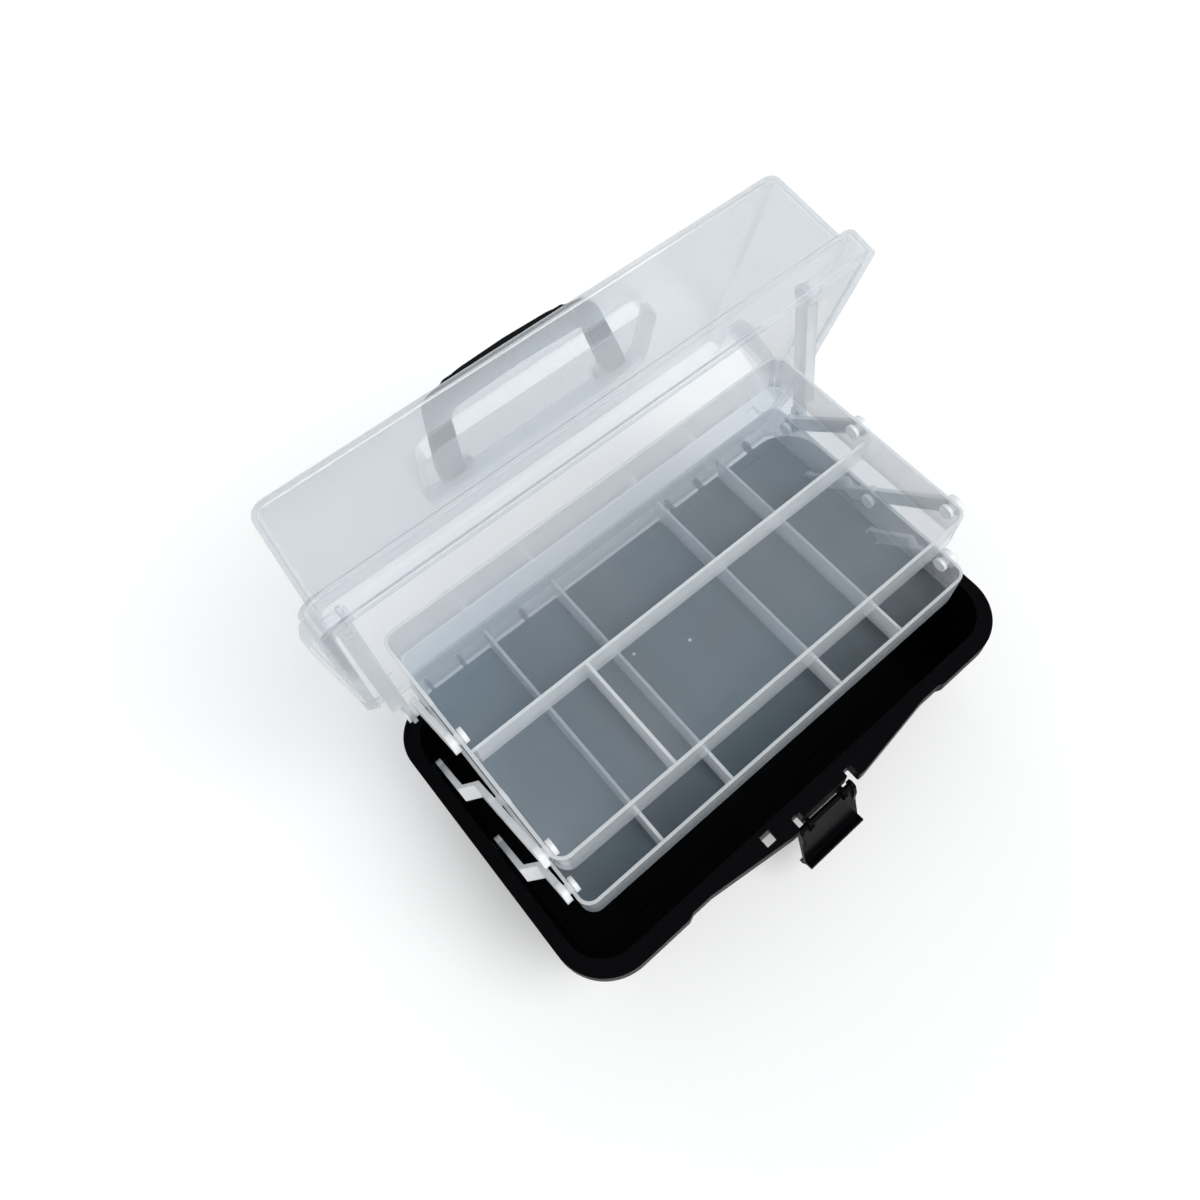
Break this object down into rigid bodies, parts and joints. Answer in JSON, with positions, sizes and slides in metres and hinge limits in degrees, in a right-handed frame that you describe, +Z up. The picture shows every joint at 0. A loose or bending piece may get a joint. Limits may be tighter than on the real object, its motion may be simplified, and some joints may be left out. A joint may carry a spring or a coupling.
{
  "type": "toolbox",
  "caption": "Small cantilever toolbox, shown open: black base with front latch, clear hinged lid with bail handle, and two clear divided trays that rise on arms with the lid.",
  "frame": {"origin": "on the flat underside of the base, on the mid-plane between the two ends", "axes": "+X to the right along the length seen from the latch side, +Y from the latch side to the hinge side, +Z up"},
  "size_m": [0.3456, 0.2918, 0.2985],
  "materials": {
    "black_plastic": "glossy black moulded plastic",
    "clear_plastic": "clear, slightly milky moulded plastic",
    "milky_plastic": "translucent white moulded plastic"
  },
  "bodies": {
    "base": {"base_tub": "black_plastic"},
    "lid": {"lid_shell": "clear_plastic"},
    "handle": {"handle": "black_plastic"},
    "latch": {"latch": "black_plastic"},
    "lower_tray": {"lower_tray": "clear_plastic"},
    "upper_tray": {"upper_tray": "clear_plastic"},
    "front_arm_right": {"front_arm_right": "milky_plastic"},
    "front_arm_left": {"front_arm_left": "milky_plastic"},
    "middle_arm_right": {"middle_arm_right": "milky_plastic"},
    "middle_arm_left": {"middle_arm_left": "milky_plastic"},
    "rear_arm_right": {"rear_arm_right": "milky_plastic"},
    "rear_arm_left": {"rear_arm_left": "milky_plastic"},
    "lid_link_right": {"lid_link_right": "milky_plastic"},
    "lid_link_left": {"lid_link_left": "milky_plastic"}
  },
  "joints": [
    {"name": "lid_hinge", "type": "hinge", "parent": "base", "child": "lid", "pos_m": [0, 0.1032, 0.0871], "axis": [1, 0, 0], "range_deg": [0, 75.39]},
    {"name": "handle_pivot", "type": "hinge", "parent": "lid", "child": "handle", "pos_m": [0, 0.14634, 0.19673], "axis": [1, 0, 0], "range_deg": [-61, 28]},
    {"name": "latch_hinge", "type": "hinge", "parent": "base", "child": "latch", "pos_m": [0, -0.105, 0.072], "axis": [-1, 0, 0], "range_deg": [0, 165]},
    {"name": "front_arm_right_pivot", "type": "hinge", "parent": "base", "child": "front_arm_right", "pos_m": [0.15275, 0.0015, 0.072], "axis": [1, 0, 0], "range_deg": [0, 21.6]},
    {"name": "middle_arm_right_pivot", "type": "hinge", "parent": "base", "child": "middle_arm_right", "pos_m": [0.15275, 0.0604, 0.072], "axis": [1, 0, 0], "range_deg": [0, 21.6]},
    {"name": "front_arm_left_pivot", "type": "hinge", "parent": "base", "child": "front_arm_left", "pos_m": [-0.15275, 0.0015, 0.072], "axis": [1, 0, 0], "range_deg": [0, 21.6]},
    {"name": "middle_arm_left_pivot", "type": "hinge", "parent": "base", "child": "middle_arm_left", "pos_m": [-0.15275, 0.0604, 0.072], "axis": [1, 0, 0], "range_deg": [0, 21.6]},
    {"name": "lower_tray_pivot", "type": "hinge", "parent": "middle_arm_right", "child": "lower_tray", "pos_m": [0.141, 0.0044, 0.128], "axis": [1, 0, 0], "range_deg": [-21.6, 0]},
    {"name": "upper_tray_pivot", "type": "hinge", "parent": "middle_arm_right", "child": "upper_tray", "pos_m": [0.141, -0.0458, 0.1782], "axis": [1, 0, 0], "range_deg": [-21.6, 0]},
    {"name": "rear_arm_right_pivot", "type": "hinge", "parent": "lower_tray", "child": "rear_arm_right", "pos_m": [0.14475, 0.0767, 0.128], "axis": [1, 0, 0], "range_deg": [0, 21.6]},
    {"name": "lid_link_right_pivot", "type": "hinge", "parent": "lid", "child": "lid_link_right", "pos_m": [0.15025, 0.08676, 0.237], "axis": [1, 0, 0], "range_deg": [0, 17.2]},
    {"name": "rear_arm_left_pivot", "type": "hinge", "parent": "lower_tray", "child": "rear_arm_left", "pos_m": [-0.14475, 0.0767, 0.128], "axis": [1, 0, 0], "range_deg": [0, 21.6]},
    {"name": "lid_link_left_pivot", "type": "hinge", "parent": "lid", "child": "lid_link_left", "pos_m": [-0.15025, 0.08676, 0.237], "axis": [1, 0, 0], "range_deg": [0, 17.2]}
  ],
  "couplings": [
    {"joint": "front_arm_right_pivot", "follows": "lid_hinge", "ratio": 0.28518},
    {"joint": "middle_arm_right_pivot", "follows": "lid_hinge", "ratio": 0.28518},
    {"joint": "front_arm_left_pivot", "follows": "lid_hinge", "ratio": 0.28518},
    {"joint": "middle_arm_left_pivot", "follows": "lid_hinge", "ratio": 0.28518},
    {"joint": "lower_tray_pivot", "follows": "lid_hinge", "ratio": -0.28518},
    {"joint": "upper_tray_pivot", "follows": "lid_hinge", "ratio": -0.28518},
    {"joint": "rear_arm_right_pivot", "follows": "lid_hinge", "ratio": 0.28518},
    {"joint": "lid_link_right_pivot", "follows": "lid_hinge", "ratio": 0.2262},
    {"joint": "rear_arm_left_pivot", "follows": "lid_hinge", "ratio": 0.28518},
    {"joint": "lid_link_left_pivot", "follows": "lid_hinge", "ratio": 0.2262}
  ]
}
